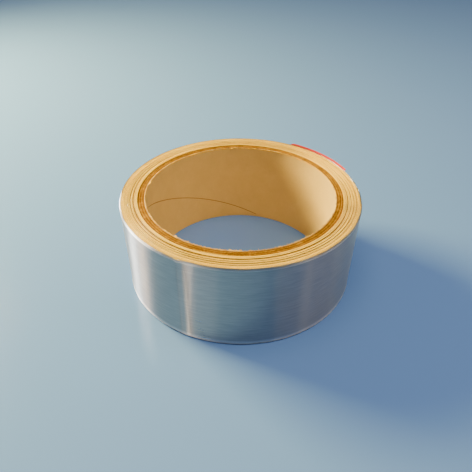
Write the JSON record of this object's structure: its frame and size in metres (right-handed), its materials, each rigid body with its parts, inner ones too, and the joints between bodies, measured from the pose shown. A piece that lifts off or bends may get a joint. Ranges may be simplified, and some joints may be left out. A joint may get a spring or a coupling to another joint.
{
  "type": "duct tape roll",
  "caption": "Roll of aluminium foil duct tape with a paper release liner, wound on a spiral paperboard core, with a free end that lifts and a red pull tab.",
  "frame": {"origin": "on the bore's axis, in the plane of the face that the roll lies on", "axes": "+Z along the bore's axis, up out of the lying roll; +X to the right and +Y to the back as the roll is usually seen"},
  "size_m": [0.0964, 0.0961, 0.0387],
  "materials": {
    "facing_paper": "smooth calendered paper with one helical seam",
    "brown_board": "rough-cut brown chipboard",
    "ochre_board": "rough-cut ochre chipboard",
    "kraft_paper": "kraft paper",
    "strip_film": "clear double-sided film",
    "liner_paper": "silicone-coated release paper, matt on its cut edges",
    "acrylic_adhesive": "tacky clear acrylic",
    "foil": "bright rolled foil with fine lines around the roll",
    "tab_glue": "clear glue",
    "red_film": "semi-gloss red film"
  },
  "bodies": {
    "roll": {"core_inner_facing": "facing_paper", "core_board_ply_1": "brown_board", "core_board_ply_2": "ochre_board", "core_board_ply_3": "brown_board", "core_board_ply_4": "ochre_board", "core_outer_facing": "kraft_paper", "start_strip": "strip_film", "liner_winding": "liner_paper", "adhesive_winding": "acrylic_adhesive", "foil_winding": "foil"},
    "lead": {"liner_lead": "liner_paper", "adhesive_lead": "acrylic_adhesive", "foil_lead": "foil"},
    "peeled_foil": {"adhesive_end": "acrylic_adhesive", "foil_end": "foil"},
    "tab": {"pull_tab_glue": "tab_glue", "pull_tab": "red_film"}
  },
  "joints": [
    {"name": "lead_lift", "type": "hinge", "parent": "roll", "child": "lead", "pos_m": [0.04758, -0.00829, 0.019], "axis": [0, 0, -1], "range_deg": [0, 60]},
    {"name": "foil_peel", "type": "hinge", "parent": "lead", "child": "peeled_foil", "pos_m": [0.04782, 0.00682, 0.019], "axis": [0, 0, -1], "range_deg": [0, 75]},
    {"name": "tab_lift", "type": "hinge", "parent": "peeled_foil", "child": "tab", "pos_m": [0.04525, 0.01782, 0.019], "axis": [0, 0, -1], "range_deg": [0, 60]}
  ]
}
